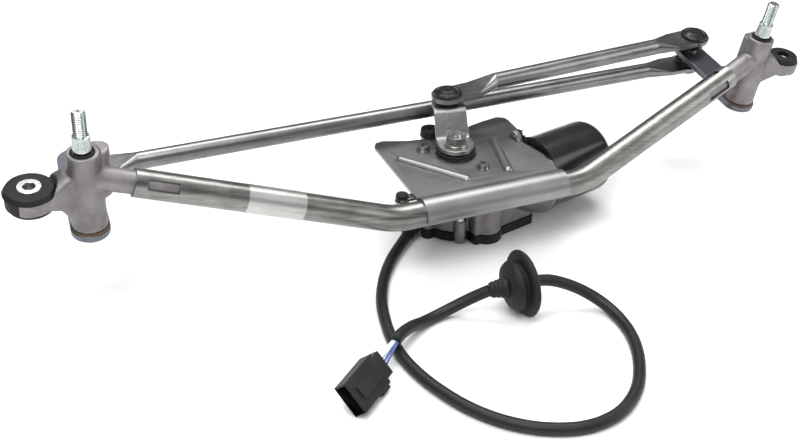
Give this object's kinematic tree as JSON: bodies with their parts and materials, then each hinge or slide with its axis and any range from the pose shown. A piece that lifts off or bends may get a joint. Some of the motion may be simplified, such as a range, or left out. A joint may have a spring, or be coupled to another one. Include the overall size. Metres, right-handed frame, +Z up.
{
  "type": "windshield wiper linkage with motor",
  "caption": "Windshield wiper drive: tube frame with two pivot housings, gear motor with crank, drive link and tie link, and a short lead with a grommet and connector.",
  "frame": {"origin": "middle of the footprint box of the assembly without its lead, at the level of the gear cover's underside, on which it stands", "axes": "+Z up, square to the motor plate; +X from the left pivot to the right pivot; +Y from the frame tube towards the links"},
  "size_m": [0.7002, 0.3643, 0.1962],
  "materials": {
    "zinc_tube": "satin galvanised",
    "foil_label": "satin blank foil",
    "stamped_steel": "satin zinc plated stamping",
    "cast_aluminium": "matte die cast",
    "bronze": "sintered",
    "rubber_black": "matte",
    "bright_zinc": "bright zinc",
    "machined_steel": "ground",
    "lever_steel": "dark phosphated with bright sheared edges",
    "washer_fibre": "matte",
    "black_paint": "gloss black",
    "cover_plastic": "moulded black",
    "socket_plastic": "moulded gloss black",
    "connector_plastic": "moulded black",
    "seal_orange": "matte",
    "wire_insulation": "white and blue insulation",
    "gear_nylon": "natural nylon",
    "ferrite": "sintered ferrite",
    "card": "phenolic",
    "laminations": "stacked laminations",
    "copper": "enamelled copper"
  },
  "bodies": {
    "frame": {"frame_tube": "zinc_tube", "tube_label": "foil_label", "motor_plate": "stamped_steel", "left_housing": "cast_aluminium", "left_upper_bushing": "bronze", "left_lower_bushing": "bronze", "left_seal": "rubber_black", "left_grommet": "rubber_black", "left_sleeve": "bright_zinc", "right_housing": "cast_aluminium", "right_upper_bushing": "bronze", "right_lower_bushing": "bronze", "right_seal": "rubber_black", "right_grommet": "rubber_black", "right_sleeve": "bright_zinc", "locating_peg": "bright_zinc", "peg_rubber": "rubber_black", "rear_isolator": "rubber_black", "gear_housing": "cast_aluminium", "cover_gasket": "rubber_black", "gear_cover": "cover_plastic", "cover_screws": "bright_zinc", "motor_can": "black_paint", "can_screws": "bright_zinc", "field_magnets": "ferrite", "brush_card": "card", "rear_bearing": "bronze", "front_bearing": "bronze", "mount_screws": "bright_zinc", "output_bushing": "bronze", "output_seal": "rubber_black", "cord_gland": "rubber_black", "cord_lead": "rubber_black", "cord_tail": "rubber_black", "cowl_grommet": "rubber_black", "connector_housing": "connector_plastic", "connector_seal": "seal_orange", "connector_wires": "wire_insulation"},
    "crank": {"output_shaft": "machined_steel", "worm_wheel": "gear_nylon", "contact_plate": "copper", "crank_arm": "lever_steel", "crank_nut": "bright_zinc"},
    "armature": {"armature_shaft": "machined_steel", "armature_core": "laminations", "armature_windings": "copper", "commutator": "copper"},
    "right_arm": {"right_spindle": "bright_zinc", "right_lever": "lever_steel", "right_ball_stud": "bright_zinc", "right_thrust_washer": "washer_fibre"},
    "left_arm": {"left_spindle": "bright_zinc", "left_lever": "lever_steel", "left_ball_stud": "bright_zinc", "left_thrust_washer": "washer_fibre"},
    "tie_link": {"tie_link_rod": "zinc_tube", "tie_link_sockets": "socket_plastic"},
    "drive_link": {"drive_link_rod": "zinc_tube", "drive_link_sockets": "socket_plastic", "crank_ball_stud": "bright_zinc"}
  },
  "joints": [
    {"name": "right_spindle", "type": "hinge", "parent": "frame", "child": "right_arm", "pos_m": [0.3013, -0.02675, 0.1185], "axis": [0.0517, -0.1564, 0.9863], "range_deg": [-22, 22]},
    {"name": "left_spindle", "type": "hinge", "parent": "frame", "child": "left_arm", "pos_m": [-0.2937, -0.04975, 0.13], "axis": [0.0517, -0.1564, 0.9863], "range_deg": [-22, 22]},
    {"name": "tie_link", "type": "hinge", "parent": "right_arm", "child": "tie_link", "pos_m": [0.29969, 0.06416, 0.08789], "axis": [0.0517, -0.1564, 0.9863], "range_deg": [-22, 22]},
    {"name": "drive_link", "type": "hinge", "parent": "right_arm", "child": "drive_link", "pos_m": [0.30122, 0.05955, 0.11698], "axis": [0.0218, -0.1419, 0.9896], "range_deg": [-22, 22]},
    {"name": "crank", "type": "hinge", "parent": "frame", "child": "crank", "pos_m": [0.0205, 0.00315, 0.07], "axis": [0, 0, 1], "range_deg": [-49, 49]},
    {"name": "armature", "type": "hinge", "parent": "frame", "child": "armature", "pos_m": [0.0913, -0.01215, 0.043], "axis": [0.9724, 0.2334, 0], "continuous": true}
  ],
  "couplings": [
    {"joint": "left_spindle", "follows": "right_spindle", "ratio": 1},
    {"joint": "tie_link", "follows": "right_spindle", "ratio": -1},
    {"joint": "drive_link", "follows": "right_spindle", "ratio": -1},
    {"joint": "crank", "follows": "right_spindle", "ratio": 2.2}
  ]
}
